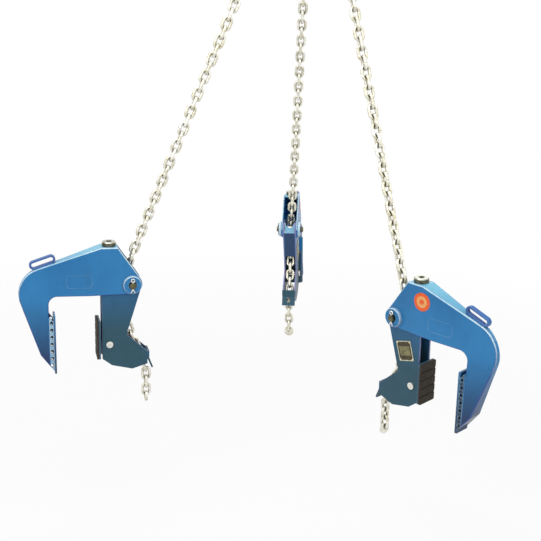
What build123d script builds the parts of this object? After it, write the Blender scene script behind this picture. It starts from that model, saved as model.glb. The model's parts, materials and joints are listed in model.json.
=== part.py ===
from build123d import *
from math import acos, atan2, ceil, cos, degrees, hypot, radians, sin, tan
import os

os.makedirs("parts", exist_ok=True)

# Sizes are in millimetres and degrees
# The three legs as they hang: direction of each clamp, its height above the lowest two,
# and how far round the master bow its leg hangs
clamp_azimuths = {"far": 86.7, "left": 197.6, "right": 316.4}
clamp_rises = {"far": 26.0, "left": 0.0, "right": 0.0}
bow_turns = {"far": -2.0, "left": -24.5, "right": 28.0}
# How far each clamp is turned out of its leg's plane and rolled about its own long side
clamp_yaws = {"far": -6.1, "left": 0.5, "right": 1.2}
clamp_rolls = {"far": -2.8, "left": 0.0, "right": 3.5}
grip_radius = 612.0
sling_drop = 1104.0
sling_shift = -28.0

# Master link and coupling links, the origin is where the crane hook bears
master_wire = 18.0
master_inner_width = 84.0
master_inner_length = 145.0
coupling_wire = 10.0
coupling_inner_width = 24.0
coupling_inner_length = 52.0
coupling_play = 1.0

# Round-link chain
chain_wire = 8.0
chain_pitch = 24.0
chain_inner_width = 11.0
link_play = 0.3
least_play = 0.1

# Hook housing, measured from the pivot pin: out to the gripped wall and up
pivot_to_jaw = 198.0
jaw_depth = 16.0
jaw_plate = 5.0
jaw_width = 44.0
jaw_length = 161.0
jaw_top_depth = 78.0
flange_top_depth = 79.0
flange_out = 21.0
flange_thickness = 6.0
flange_slot_length = 10.0
flange_slot_width = 8.0
flange_slot_margin = 10.0
flange_slots = 7
housing_width = 50.0
cheek_thickness = 4.0
strip_thickness = 5.0
edge_round = 3.0
nose_radius = 27.0
crest_inner = 36.0
crest_length = 42.0
crest_height = 101.0
crest_round = 12.0
top_slope = 18.4
back_round = 72.0
taper_angle = 18.0
tip_depth = 217.0
tip_width = 24.0
tip_chamfer = 32.0
tip_round = 6.0
throat_round = 23.0
# From a fold behind the pin the cheeks run together, toward the back and toward the top
fold_out = 86.0
fold_up = 27.0
toe_angle = 5.7
lean_angle = 2.6
strip_end_height = 20.0

# Sunk bare field on each cheek
field_length = 64.0
field_height = 33.0
field_round = 8.0
field_depth = 0.8
field_out = 136.0
field_up = 12.0

# Carry handle and crest plug
handle_length = 68.0
handle_height = 23.0
handle_bar = 5.5
handle_width = 12.0
handle_from_crest = 152.0
handle_edge_round = 1.5
plug_head = 36.0
plug_head_height = 12.0
plug_shank = 18.0
plug_shank_length = 13.0
plug_socket = 14.0
plug_socket_depth = 5.0
plug_play = 0.2

# Pivot pin, bosses and split pins
pin_diameter = 16.0
pin_stand = 8.0
pin_play = 0.05
boss_diameter = 48.0
boss_height = 9.0
boss_recess = 22.0
boss_recess_depth = 4.0
boss_edge_round = 2.5
split_pin = 3.8
split_pin_play = 0.2
split_pin_from_end = 4.0
split_pin_eye = 8.4
split_pin_leg = 11.0
split_pin_spread = 28.0

# Inner arm
arm_side_play = 0.5
arm_cheek = 4.0
arm_head_radius = 26.0
arm_lean = 16.7
arm_back = 79.0
arm_waist_depth = 140.0
foot_front = 41.0
foot_top_depth = 192.0
foot_heel_depth = 228.0
foot_depth = 240.0
web_thickness = 4.0
web_depth = 91.0
web_top_slope = 60.0
web_top_length = 34.0
notch_width = 27.0
notch_up = 8.0
bush_diameter = 20.0

# Chain run inside the arm and its bracket
chain_offset = 27.0
chain_rise = 2.0
notch_play = 0.6
upper_run_lean = 4.0
upper_run_links = 4
lower_run_lean = 20.0
lower_run_links = 7
shelf_play = 0.7
shelf_back = 30.0
slot_play = 1.0
lip_thickness = 5.0
lip_upper_height = 22.0
lip_drop = 27.0
lip_out = 11.0
lip_slot_drop = 18.0

# Shoe
shoe_width = 56.0
shoe_height = 108.0
shoe_top_depth = 97.0
shoe_plate = 4.0
shoe_gap = 5.0
pad_thickness = 5.0
pad_grooves = 4
groove_depth = 1.5
groove_width = 4.0
shoe_pin = 12.0
shoe_pin_out = 60.0
shoe_pin_depth = 165.0
shoe_pin_head = 18.0
shoe_pin_head_height = 5.0
ear_thickness = 5.0
ear_play = 0.6
ear_radius = 11.0

# Free chain end
tail_links = 3
disc_diameter = 30.0
disc_thickness = 6.0
disc_hole = 11.0
disc_edge = 6.0

# Sizes that follow from the ones above
chain_step = chain_pitch - link_play
bow_radius = (chain_inner_width + chain_wire) / 2
half_straight = (chain_pitch + chain_wire) / 2 - bow_radius
link_half = (chain_pitch + chain_wire) / 2
link_outer_half = chain_pitch / 2 + chain_wire
master_bow = (master_inner_width + master_wire) / 2
master_centre = -master_inner_length / 2
master_bow_centre = -master_inner_length + master_inner_width / 2
coupling_below = coupling_inner_length / 2 - master_wire / 2 - coupling_play
first_link = coupling_below + coupling_inner_length / 2 - chain_wire / 2 - link_play + link_half
chain_reach = grip_radius - pivot_to_jaw + chain_offset
notch_height = -master_inner_length - master_wire / 2 - sling_drop
housing_inner = housing_width - 2 * cheek_thickness
arm_width = housing_inner - 2 * arm_side_play
arm_inner = arm_width - 2 * arm_cheek
jaw_back = pivot_to_jaw + jaw_depth
pin_length = housing_width + 2 * (boss_height + pin_stand)
bore = pin_diameter + 2 * pin_play
shoe_bore = shoe_pin + 2 * pin_play
shoe_back = arm_back + shoe_gap
shoe_front = shoe_back + shoe_plate
disc_play = link_play + (chain_inner_width - (chain_inner_width**2 - disc_thickness**2) ** 0.5) / 2
shelf_thickness = 2 * chain_step - 2 * link_outer_half - 2 * shelf_play
slot_width = chain_wire + 2 * slot_play

# Housing outline from the crest over the back to the tip
crest_outer = crest_inner + crest_length
tip_outer = jaw_back + tip_width
tip_side = tip_depth - tip_chamfer
slope = tan(radians(top_slope))
taper = tan(radians(taper_angle))
back_out = (tip_outer + taper * (tip_side + crest_height + slope * crest_outer)) / (1 + taper * slope)
back_up = crest_height - slope * (back_out - crest_outer)
crest_start = (crest_inner, crest_height)
back_points = [
    crest_start,
    (crest_outer, crest_height),
    (back_out, back_up),
    (tip_outer, -tip_side),
    (jaw_back, -tip_depth),
]
back_rounds = [crest_round, back_round, tip_round]
flange_slant = (jaw_depth - jaw_plate) * tip_chamfer / tip_width
flange_middle_depth = (flange_top_depth + tip_depth + flange_slant) / 2
flange_pitch = (tip_depth - flange_top_depth - 2 * flange_slot_margin) / (flange_slots - 1)
nose_turn = degrees(atan2(crest_height, crest_inner) + acos(nose_radius / hypot(crest_inner, crest_height)))
nose_end = (nose_radius * cos(radians(nose_turn)), nose_radius * sin(radians(nose_turn)))

# Arm edge that faces the middle of the sling
lean = tan(radians(arm_lean))
arm_shoulder = (-arm_head_radius * cos(radians(arm_lean)), -arm_head_radius * sin(radians(arm_lean)))
arm_waist = (arm_shoulder[0] + (arm_waist_depth + arm_shoulder[1]) * lean, -arm_waist_depth)
web_end = (arm_shoulder[0] + (web_depth + arm_shoulder[1]) * lean, -web_depth)
web_top = (
    arm_shoulder[0] + web_top_length * cos(radians(web_top_slope)),
    arm_shoulder[1] + web_top_length * sin(radians(web_top_slope)),
)

# Chain run inside the arm: notch, bend on the web, hook in the bracket and free end
upper_run = upper_run_links * chain_step - notch_play
run_bend = (
    chain_offset - upper_run * sin(radians(upper_run_lean)),
    chain_rise - upper_run * cos(radians(upper_run_lean)),
)
run_first = chain_step - half_straight
shelf_along = run_first + (lower_run_links - 2) * chain_step
tail_along = run_first + lower_run_links * chain_step - half_straight


def on_lower_run(along):
    out = run_bend[0] - along * sin(radians(lower_run_lean))
    up = run_bend[1] - along * cos(radians(lower_run_lean))
    return (out, up)


def round_link(inner_length, inner_width, wire):
    bow = (inner_width + wire) / 2
    straight = (inner_length + wire) / 2 - bow
    with BuildPart() as half:
        with BuildSketch(Plane.YZ):
            with Locations((bow, 0), (-bow, 0)):
                Circle(wire / 2)
        extrude(amount=straight)
        with BuildSketch(Plane.YZ.offset(straight)):
            with Locations((bow, 0)):
                Circle(wire / 2)
        revolve(axis=Axis((straight, 0, 0), (0, 0, -1)), revolution_arc=180)
        mirror(about=Plane.YZ)
    return half.part


def chain(label, links, places):
    strand = Compound(label=label, children=[links.moved(place.location) for place in places])
    export_step(strand, f"parts/{label}.step")


def places_along(start, direction, normal, first, step, count, first_turn, turn):
    places = []
    for number in range(count):
        centre = start + direction * (first + number * step)
        face = normal.rotate(Axis((0, 0, 0), direction), first_turn + number * turn)
        places.append(Plane(origin=centre, x_dir=direction, z_dir=face))
    return places


def rounded_block(outline, height, cap):
    upright = outline.faces()[0].normal_at()
    with BuildPart() as block:
        extrude(outline, amount=height)
        split(bisect_by=cap, keep=Keep.BOTTOM)
        cap_face = block.faces().filter_by(cap).sort_by(Axis(cap.origin, cap.z_dir))[-1]
        walls = block.faces().filter_by(lambda face: abs(face.normal_at().dot(upright)) < 0.01)
        fillet([edge for edge in cap_face.edges() if edge in walls.edges()], edge_round)
    return block.part


chain_link = round_link(chain_pitch, chain_inner_width, chain_wire)
coupling = round_link(coupling_inner_length, coupling_inner_width, coupling_wire)

# Master link, upright, wide side to the front
with BuildPart() as master_link:
    with Locations(Plane(origin=(0, 0, master_centre), x_dir=(0, 0, 1), z_dir=(0, 1, 0))):
        add(round_link(master_inner_length, master_inner_width, master_wire))
master_link.part.label = "master_link"
export_step(master_link.part, "parts/master_link.step")

# Space between the cheeks, one half: it narrows toward the back and stops at the back rim
toe_face = Plane(
    origin=(fold_out, fold_up, housing_width / 2),
    x_dir=(1, 0, -tan(radians(toe_angle))),
    z_dir=(tan(radians(toe_angle)), tan(radians(lean_angle)), 1),
)
crest_level = Plane(origin=(0, crest_height, 0), x_dir=(1, 0, 0), z_dir=(0, 1, 0))
strip_end = Plane(origin=(0, strip_end_height, 0), z_dir=(0, 1, 0))
with BuildPart() as back_rim:
    with BuildSketch(Plane.XY):
        with BuildLine():
            FilletPolyline(*back_points, radius=back_rounds)
            offset(amount=strip_thickness, side=Side.RIGHT)
        make_face()
    extrude(amount=housing_inner / 2)
    split(bisect_by=strip_end, keep=Keep.BOTTOM)
with BuildPart() as cheek_space:
    with BuildSketch(Plane.XY):
        Rectangle(4 * pivot_to_jaw, 4 * pivot_to_jaw)
    extrude(amount=housing_inner / 2)
    split(bisect_by=toe_face.offset(-cheek_thickness), keep=Keep.BOTTOM)
    add(back_rim.part, mode=Mode.SUBTRACT)

# Housing cheeks, joined along the back rim, with rounded outside edges, sunk bare field and pin hole
with BuildSketch(Plane.XY) as outline:
    with BuildLine():
        FilletPolyline(*back_points, radius=back_rounds)
        FilletPolyline(
            (jaw_back, -tip_depth), (jaw_back, -nose_radius), (0, -nose_radius), radius=throat_round
        )
        CenterArc((0, 0), nose_radius, 270, nose_turn - 270)
        Line(nose_end, crest_start)
    make_face()
flat_block = rounded_block(outline.sketch, housing_width, Plane.XY.offset(housing_width / 2))
toe_block = rounded_block(outline.sketch, housing_width, toe_face)
with BuildPart() as cheek_pair:
    add(flat_block)
    add(toe_block, mode=Mode.INTERSECT)
    with BuildSketch(toe_face):
        with Locations((field_out - fold_out, field_up - fold_up)):
            RectangleRounded(field_length, field_height, field_round)
    extrude(amount=-field_depth, mode=Mode.SUBTRACT)
    add(cheek_space.part, mode=Mode.SUBTRACT)
    with BuildSketch(Plane.XY.offset(housing_inner / 2)):
        Circle(bore / 2)
    extrude(amount=cheek_thickness, mode=Mode.SUBTRACT)
    mirror(about=Plane.XY)

# Back strip between the cheeks, from the crest to where they meet
with BuildPart() as strip:
    with BuildSketch(Plane.XY):
        with BuildLine():
            FilletPolyline(*back_points, radius=back_rounds)
            offset(amount=strip_thickness, side=Side.RIGHT)
        make_face()
    extrude(amount=housing_inner / 2)
    split(bisect_by=toe_face.offset(-cheek_thickness), keep=Keep.BOTTOM)
    split(bisect_by=strip_end, keep=Keep.TOP)
    mirror(about=Plane.XY)
    with BuildSketch(crest_level):
        with Locations((crest_inner + crest_length / 2, 0)):
            Circle(plug_shank / 2 + plug_play)
    extrude(amount=-2 * strip_thickness, mode=Mode.SUBTRACT)

for name in clamp_azimuths:
    # Where the leg hangs on the master bow and where its chain enters the arm
    azimuth = radians(clamp_azimuths[name])
    notch = Vector(
        sling_shift + chain_reach * cos(azimuth), chain_reach * sin(azimuth), notch_height + clamp_rises[name]
    )
    bow_turn = radians(bow_turns[name])
    hang = Vector(master_bow * sin(bow_turn), 0, master_bow_centre - master_bow * cos(bow_turn))
    leg = notch - hang
    outward = Vector(leg.X, leg.Y, 0).normalized().rotate(Axis.Z, clamp_yaws[name])
    rise = Vector(0, 0, 1).rotate(Axis((0, 0, 0), outward), clamp_rolls[name])
    across = outward.cross(rise)
    pivot = notch - outward * chain_offset - rise * chain_rise
    side = Plane(origin=pivot, x_dir=outward, z_dir=across)
    front = Plane(origin=pivot, x_dir=across, z_dir=-outward)
    crest = Plane(origin=pivot, x_dir=outward, z_dir=rise).offset(crest_height)

    # Coupling link, its face square to the master bow where it hangs
    down = leg.normalized()
    wire_line = Vector(cos(bow_turn), 0, sin(bow_turn))
    coupling_face = (wire_line - down * wire_line.dot(down)).normalized()
    with BuildPart() as coupling_link:
        with Locations(Plane(origin=hang + down * coupling_below, x_dir=down, z_dir=coupling_face)):
            add(coupling)
    coupling_link.part.label = f"{name}_coupling_link"
    export_step(coupling_link.part, f"parts/{name}_coupling_link.step")

    # Leg chain, turned evenly so that its last link lies in the clamp's plane
    leg_face = (across - down * across.dot(down)).normalized()
    leg_span = leg.length - first_link - half_straight
    leg_steps = ceil(leg_span / (chain_pitch - least_play))
    coupling_turn = degrees(atan2(down.dot(leg_face.cross(coupling_face)), leg_face.dot(coupling_face)))
    top_turn = coupling_turn + 90
    half_turns = round((top_turn + leg_steps * 90) / 180)
    link_turn = (half_turns * 180 - top_turn) / leg_steps
    leg_places = places_along(
        hang, down, leg_face, first_link, leg_span / leg_steps, leg_steps + 1, top_turn, link_turn
    )
    chain(f"{name}_leg_chain", chain_link, leg_places)

    # Housing cheeks and back strip, set in the clamp's plane
    with BuildPart() as housing_cheeks:
        with Locations(side):
            add(cheek_pair.part)
    housing_cheeks.part.label = f"{name}_housing_cheeks"
    export_step(housing_cheeks.part, f"parts/{name}_housing_cheeks.step")
    with BuildPart() as back_strip:
        with Locations(side):
            add(strip.part)
    back_strip.part.label = f"{name}_back_strip"
    export_step(back_strip.part, f"parts/{name}_back_strip.step")

    # Carry handle, an oblong loop standing on the sloping strip
    slope_out = Vector(cos(radians(top_slope)), -sin(radians(top_slope)), 0)
    slope_up = Vector(sin(radians(top_slope)), cos(radians(top_slope)), 0)
    handle_spot = (
        Vector(crest_outer, crest_height, 0) + slope_out * handle_from_crest + slope_up * handle_height / 2
    )
    with BuildPart() as carry_handle:
        with BuildSketch(side):
            with Locations(Location(handle_spot, (0, 0, -top_slope))):
                RectangleRounded(handle_length, handle_height, handle_height / 2 - 0.5)
                RectangleRounded(
                    handle_length - 2 * handle_bar,
                    handle_height - 2 * handle_bar,
                    handle_height / 2 - 0.5 - handle_bar,
                    mode=Mode.SUBTRACT,
                )
        extrude(amount=handle_width / 2, both=True)
        rims = carry_handle.faces().sort_by(Axis(pivot, across))
        fillet(rims[0].edges() + rims[-1].edges(), handle_edge_round)
    carry_handle.part.label = f"{name}_carry_handle"
    export_step(carry_handle.part, f"parts/{name}_carry_handle.step")

    # Plug screw on the crest
    with BuildPart() as crest_plug:
        with BuildSketch(crest):
            with Locations((crest_inner + crest_length / 2, 0)):
                Circle(plug_head / 2)
        extrude(amount=plug_head_height)
        chamfer(crest_plug.faces().sort_by(Axis(pivot, rise))[-1].edges(), 2)
        with BuildSketch(crest):
            with Locations((crest_inner + crest_length / 2, 0)):
                Circle(plug_shank / 2)
        extrude(amount=-plug_shank_length)
        with BuildSketch(crest.offset(plug_head_height)):
            with Locations((crest_inner + crest_length / 2, 0)):
                RegularPolygon(plug_socket / 2, 6, major_radius=False)
        extrude(amount=-plug_socket_depth, mode=Mode.SUBTRACT)
    crest_plug.part.label = f"{name}_crest_plug"
    export_step(crest_plug.part, f"parts/{name}_crest_plug.step")

    # Outer jaw: a channel, its plate on the gripped wall, its slotted flanges on the edges of the cheeks
    with BuildPart() as jaw_channel:
        with BuildSketch(front.offset(-pivot_to_jaw)):
            with Locations((0, -jaw_top_depth - jaw_length / 2)):
                RectangleRounded(jaw_width, jaw_length, 3)
        extrude(amount=-jaw_plate)
        with BuildSketch(side.offset(flange_out)):
            with BuildLine():
                Polyline(
                    (jaw_back, -flange_top_depth),
                    (jaw_back, -tip_depth),
                    (pivot_to_jaw + jaw_plate, -tip_depth - flange_slant),
                    (pivot_to_jaw + jaw_plate, -flange_top_depth - flange_slant),
                    close=True,
                )
            make_face()
            with Locations((jaw_back - (jaw_depth - jaw_plate) / 2, -flange_middle_depth)):
                with GridLocations(1, flange_pitch, 1, flange_slots):
                    SlotOverall(flange_slot_length, flange_slot_width, rotation=90, mode=Mode.SUBTRACT)
        extrude(amount=-flange_thickness)
        mirror(about=side)
    jaw_channel.part.label = f"{name}_jaw_channel"
    export_step(jaw_channel.part, f"parts/{name}_jaw_channel.step")

    # Boss rings on the cheeks
    with BuildPart() as pivot_bosses:
        with BuildSketch(side.offset(housing_width / 2)):
            Circle(boss_diameter / 2)
            Circle(bore / 2, mode=Mode.SUBTRACT)
        extrude(amount=boss_height)
        boss_face = pivot_bosses.faces().sort_by(Axis(pivot, across))[-1]
        fillet(boss_face.outer_wire().edges(), boss_edge_round)
        with BuildSketch(side.offset(housing_width / 2 + boss_height)):
            Circle(boss_recess / 2)
        extrude(amount=-boss_recess_depth, mode=Mode.SUBTRACT)
        mirror(about=side)
    pivot_bosses.part.label = f"{name}_pivot_bosses"
    export_step(pivot_bosses.part, f"parts/{name}_pivot_bosses.step")

    # Pivot pin with a cross hole near each end
    split_pin_across = pin_length / 2 - split_pin_from_end
    with BuildPart() as pivot_pin:
        with BuildSketch(side):
            Circle(pin_diameter / 2)
        extrude(amount=pin_length / 2, both=True)
        ends = pivot_pin.faces().sort_by(Axis(pivot, across))
        chamfer(ends[0].edges() + ends[-1].edges(), 1)
        with BuildSketch(Plane(origin=pivot, x_dir=across, z_dir=rise)):
            with Locations((split_pin_across, 0), (-split_pin_across, 0)):
                Circle(split_pin / 2 + split_pin_play)
        extrude(amount=pin_diameter, both=True, mode=Mode.SUBTRACT)
    pivot_pin.part.label = f"{name}_pivot_pin"
    export_step(pivot_pin.part, f"parts/{name}_pivot_pin.step")

    # Split pins: eye above, shank through the pin, two spread legs below
    pin_end = pivot + across * split_pin_across
    split_top = pin_diameter / 2 + split_pin_eye / 2 + split_pin / 2
    with BuildPart() as split_pins:
        with BuildSketch(Plane(origin=pin_end, x_dir=outward, z_dir=rise).offset(-pin_diameter / 2 - 1)):
            Circle(split_pin / 2)
        extrude(amount=pin_diameter / 2 + 1 + split_top - split_pin_eye / 2)
        for spread in (split_pin_spread, -split_pin_spread):
            leg_line = -rise.rotate(Axis((0, 0, 0), across), spread)
            with BuildSketch(Plane(origin=pin_end - rise * (pin_diameter / 2 + 1), z_dir=leg_line)):
                Circle(split_pin / 2 - 0.4)
            extrude(amount=split_pin_leg)
        with Locations(Plane(origin=pin_end + rise * split_top, x_dir=outward, z_dir=across)):
            Torus(split_pin_eye / 2, split_pin / 2 - 0.4)
        mirror(about=side)
    split_pins.part.label = f"{name}_split_pins"
    export_step(split_pins.part, f"parts/{name}_split_pins.step")

    # Arm cheeks, bored for the pivot pin and the shoe pin
    with BuildPart() as arm_cheeks:
        with BuildSketch(side.offset(arm_inner / 2)):
            with BuildLine():
                Polyline(
                    arm_shoulder,
                    arm_waist,
                    (-foot_front, -foot_top_depth),
                    (-foot_front, -foot_heel_depth),
                    (0, -foot_depth),
                    (arm_back - 25, -foot_depth + 14),
                    (arm_back, -foot_depth + 34),
                    (arm_back, -arm_head_radius / 2),
                    (arm_back - 20, arm_head_radius - 8),
                    (arm_head_radius - 6, arm_head_radius + 1),
                    (-arm_head_radius / 4, arm_head_radius * 0.95),
                    close=True,
                )
            make_face()
            Circle(arm_head_radius)
            Circle(bore / 2, mode=Mode.SUBTRACT)
            with Locations((shoe_pin_out, -shoe_pin_depth)):
                Circle(shoe_bore / 2, mode=Mode.SUBTRACT)
        extrude(amount=arm_cheek)
        mirror(about=side)
    arm_cheeks.part.label = f"{name}_arm_cheeks"
    export_step(arm_cheeks.part, f"parts/{name}_arm_cheeks.step")

    # Bent web between the arm cheeks, notched for the leg chain
    with BuildPart() as arm_web:
        with BuildSketch(side):
            with BuildLine():
                Polyline(web_end, arm_shoulder, web_top)
                offset(amount=web_thickness, side=Side.RIGHT)
            make_face()
        extrude(amount=arm_inner / 2, both=True)
        with BuildSketch(front):
            with Locations((0, notch_up + notch_width / 2)):
                Circle(notch_width / 2)
        extrude(amount=arm_head_radius * 2, both=True, mode=Mode.SUBTRACT)
    arm_web.part.label = f"{name}_arm_web"
    export_step(arm_web.part, f"parts/{name}_arm_web.step")

    # Pivot bush between the arm cheeks
    with BuildPart() as pivot_bush:
        with BuildSketch(side):
            Circle(bush_diameter / 2)
            Circle(bore / 2, mode=Mode.SUBTRACT)
        extrude(amount=arm_inner / 2, both=True)
    pivot_bush.part.label = f"{name}_pivot_bush"
    export_step(pivot_bush.part, f"parts/{name}_pivot_bush.step")

    # Chain bracket at the foot: slotted shelf square to the chain, and a bent front lip
    lower_down = outward * -sin(radians(lower_run_lean)) - rise * cos(radians(lower_run_lean))
    shelf_spot = on_lower_run(shelf_along)
    shelf_centre = side.from_local_coords(Vector(shelf_spot[0], shelf_spot[1], 0))
    shelf = Plane(origin=shelf_centre, x_dir=lower_down, z_dir=across)
    shelf_front = (foot_front + shelf_spot[0] + lip_thickness / 2) / cos(radians(lower_run_lean))
    lip_bend = -foot_top_depth - lip_upper_height
    with BuildPart() as chain_bracket:
        with BuildSketch(shelf):
            with Locations((0, (shelf_back - shelf_front) / 2)):
                Rectangle(shelf_thickness, shelf_back + shelf_front)
        extrude(amount=arm_inner / 2, both=True)
        with BuildSketch(shelf):
            Rectangle(shelf_thickness * 2, 2 * (bow_radius + chain_wire / 2 + slot_play))
        extrude(amount=slot_width / 2, both=True, mode=Mode.SUBTRACT)
        with BuildSketch(side):
            with BuildLine():
                Polyline(
                    (-foot_front, -foot_top_depth),
                    (-foot_front, lip_bend),
                    (-foot_front - lip_out, lip_bend - lip_drop),
                )
                offset(amount=lip_thickness, side=Side.RIGHT)
            make_face()
        extrude(amount=arm_width / 2, both=True)
        with BuildSketch(front):
            with Locations((0, lip_bend - lip_slot_drop / 2)):
                SlotOverall(lip_slot_drop, slot_width, rotation=90)
        extrude(amount=foot_front + lip_out + 2 * lip_thickness, mode=Mode.SUBTRACT)
    chain_bracket.part.label = f"{name}_chain_bracket"
    export_step(chain_bracket.part, f"parts/{name}_chain_bracket.step")

    # Chain inside the arm: from the notch along the web, then down to the bracket
    upper_down = outward * -sin(radians(upper_run_lean)) - rise * cos(radians(upper_run_lean))
    bend = side.from_local_coords(Vector(run_bend[0], run_bend[1], 0))
    upper_places = places_along(
        notch, upper_down, across, run_first - notch_play, chain_step, upper_run_links, 90, 90
    )
    lower_places = places_along(bend, lower_down, across, run_first, chain_step, lower_run_links, 90, 90)
    chain(f"{name}_arm_chain", chain_link, upper_places + lower_places)

    # Shoe: wide plate with two ears on the shoe pin
    with BuildPart() as shoe:
        with BuildSketch(front.offset(-shoe_back)):
            with Locations((0, -shoe_top_depth - shoe_height / 2)):
                RectangleRounded(shoe_width, shoe_height, 4)
        extrude(amount=-shoe_plate)
        with BuildSketch(side.offset(arm_inner / 2 - ear_play)):
            with Locations((shoe_pin_out, -shoe_pin_depth)):
                Circle(ear_radius)
            with Locations(((shoe_pin_out + shoe_back) / 2, -shoe_pin_depth)):
                Rectangle(shoe_back - shoe_pin_out, 2 * ear_radius)
            with Locations((shoe_pin_out, -shoe_pin_depth)):
                Circle(shoe_bore / 2, mode=Mode.SUBTRACT)
        extrude(amount=-ear_thickness)
        with BuildSketch(side.offset(-arm_inner / 2 + ear_play)):
            with Locations((shoe_pin_out, -shoe_pin_depth)):
                Circle(ear_radius)
            with Locations(((shoe_pin_out + shoe_back) / 2, -shoe_pin_depth)):
                Rectangle(shoe_back - shoe_pin_out, 2 * ear_radius)
            with Locations((shoe_pin_out, -shoe_pin_depth)):
                Circle(shoe_bore / 2, mode=Mode.SUBTRACT)
        extrude(amount=ear_thickness)
    shoe.part.label = f"{name}_shoe"
    export_step(shoe.part, f"parts/{name}_shoe.step")

    # Friction pad on the shoe, grooved across
    with BuildPart() as shoe_pad:
        with BuildSketch(front.offset(-shoe_front)):
            with Locations((0, -shoe_top_depth - shoe_height / 2)):
                RectangleRounded(shoe_width, shoe_height, 4)
        extrude(amount=-pad_thickness)
        with BuildSketch(front.offset(-shoe_front - pad_thickness)):
            with Locations((0, -shoe_top_depth - shoe_height / 2)):
                with GridLocations(1, shoe_height / (pad_grooves + 1), 1, pad_grooves):
                    Rectangle(shoe_width, groove_width)
        extrude(amount=groove_depth, mode=Mode.SUBTRACT)
    shoe_pad.part.label = f"{name}_shoe_pad"
    export_step(shoe_pad.part, f"parts/{name}_shoe_pad.step")

    # Shoe pin with a flat head outside each arm cheek
    with BuildPart() as shoe_pin_piece:
        with BuildSketch(side):
            with Locations((shoe_pin_out, -shoe_pin_depth)):
                Circle(shoe_pin / 2)
        extrude(amount=arm_width / 2, both=True)
        with BuildSketch(side.offset(arm_width / 2)):
            with Locations((shoe_pin_out, -shoe_pin_depth)):
                Circle(shoe_pin_head / 2)
        extrude(amount=shoe_pin_head_height)
        with BuildSketch(side.offset(-arm_width / 2)):
            with Locations((shoe_pin_out, -shoe_pin_depth)):
                Circle(shoe_pin_head / 2)
        extrude(amount=-shoe_pin_head_height)
    shoe_pin_piece.part.label = f"{name}_shoe_pin"
    export_step(shoe_pin_piece.part, f"parts/{name}_shoe_pin.step")

    # Free chain end with its round end disc
    tail_spot = on_lower_run(tail_along)
    tail_top = side.from_local_coords(Vector(tail_spot[0], tail_spot[1], 0))
    tail_places = places_along(tail_top, -rise, across, half_straight, chain_step, tail_links, 0, 90)
    disc_hole_top = half_straight + (tail_links - 1) * chain_step + chain_pitch / 2 - disc_play
    disc_drop = disc_hole_top - disc_edge + disc_diameter / 2
    with BuildPart() as tail_chain:
        with Locations(*tail_places):
            add(chain_link)
        with BuildSketch(Plane(origin=tail_top, x_dir=across, z_dir=outward)):
            with Locations((0, disc_drop)):
                Circle(disc_diameter / 2)
            with Locations((0, disc_drop - disc_diameter / 2 + disc_edge + disc_hole / 2)):
                Circle(disc_hole / 2, mode=Mode.SUBTRACT)
        extrude(amount=disc_thickness / 2, both=True)
    tail_chain.part.label = f"{name}_tail_chain"
    export_step(tail_chain.part, f"parts/{name}_tail_chain.step")
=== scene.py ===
import json
import math
import bmesh
import bpy
import numpy as np
from mathutils import Matrix, Vector


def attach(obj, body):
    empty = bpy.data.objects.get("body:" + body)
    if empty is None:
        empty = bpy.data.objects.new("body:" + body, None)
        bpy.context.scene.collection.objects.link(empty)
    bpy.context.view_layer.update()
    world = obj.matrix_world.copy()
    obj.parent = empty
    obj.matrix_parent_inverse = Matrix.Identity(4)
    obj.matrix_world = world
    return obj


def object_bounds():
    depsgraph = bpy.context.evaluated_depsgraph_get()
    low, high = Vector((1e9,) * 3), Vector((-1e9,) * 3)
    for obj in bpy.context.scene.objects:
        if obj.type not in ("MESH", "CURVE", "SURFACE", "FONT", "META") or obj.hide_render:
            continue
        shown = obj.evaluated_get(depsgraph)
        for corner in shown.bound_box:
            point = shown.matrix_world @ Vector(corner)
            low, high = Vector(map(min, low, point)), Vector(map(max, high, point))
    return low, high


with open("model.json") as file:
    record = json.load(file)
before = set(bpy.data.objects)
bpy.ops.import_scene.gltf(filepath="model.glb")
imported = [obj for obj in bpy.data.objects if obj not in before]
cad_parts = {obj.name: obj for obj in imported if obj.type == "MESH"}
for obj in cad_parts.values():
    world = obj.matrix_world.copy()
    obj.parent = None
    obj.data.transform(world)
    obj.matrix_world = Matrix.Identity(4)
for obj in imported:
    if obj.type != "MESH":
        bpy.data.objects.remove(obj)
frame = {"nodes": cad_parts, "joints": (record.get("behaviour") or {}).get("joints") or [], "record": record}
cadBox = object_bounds()  # the CAD parts' box, taken before the looks are added
nodes = frame["nodes"]
joints = {joint["name"]: joint for joint in frame["joints"]}
scene = bpy.context.scene
scene.view_settings.view_transform = "Standard"
clampNames = ("far", "left", "right")
mm = 0.001
print("frame loaded,", len(nodes), "nodes")

# camera, fitted to the photo
photoCamera = {
    "spot": (-0.028, -2.38175, -0.52357),
    "right": (0.99883843, 0.02480942, 0.04130725),
    "up": (-0.04674221, 0.29067039, 0.95568085),
    "away": (-0.01170309, 0.95650155, -0.2914924),
    "lens": 36 * 900 / 541,  # 36 mm sensor, focal length 900 px in a picture 541 px wide
    "clip": (0.05, 60),
}


def placeCamera(look):
    data = bpy.data.cameras.new("photoCamera")
    data.lens = look["lens"]
    data.clip_start, data.clip_end = look["clip"]
    camera = bpy.data.objects.new("photoCamera", data)
    scene.collection.objects.link(camera)
    turn = Matrix((look["right"], look["up"], -Vector(look["away"]))).transposed()
    camera.matrix_world = Matrix.Translation(look["spot"]) @ turn.to_4x4()
    scene.camera = camera


placeCamera(photoCamera)

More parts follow.
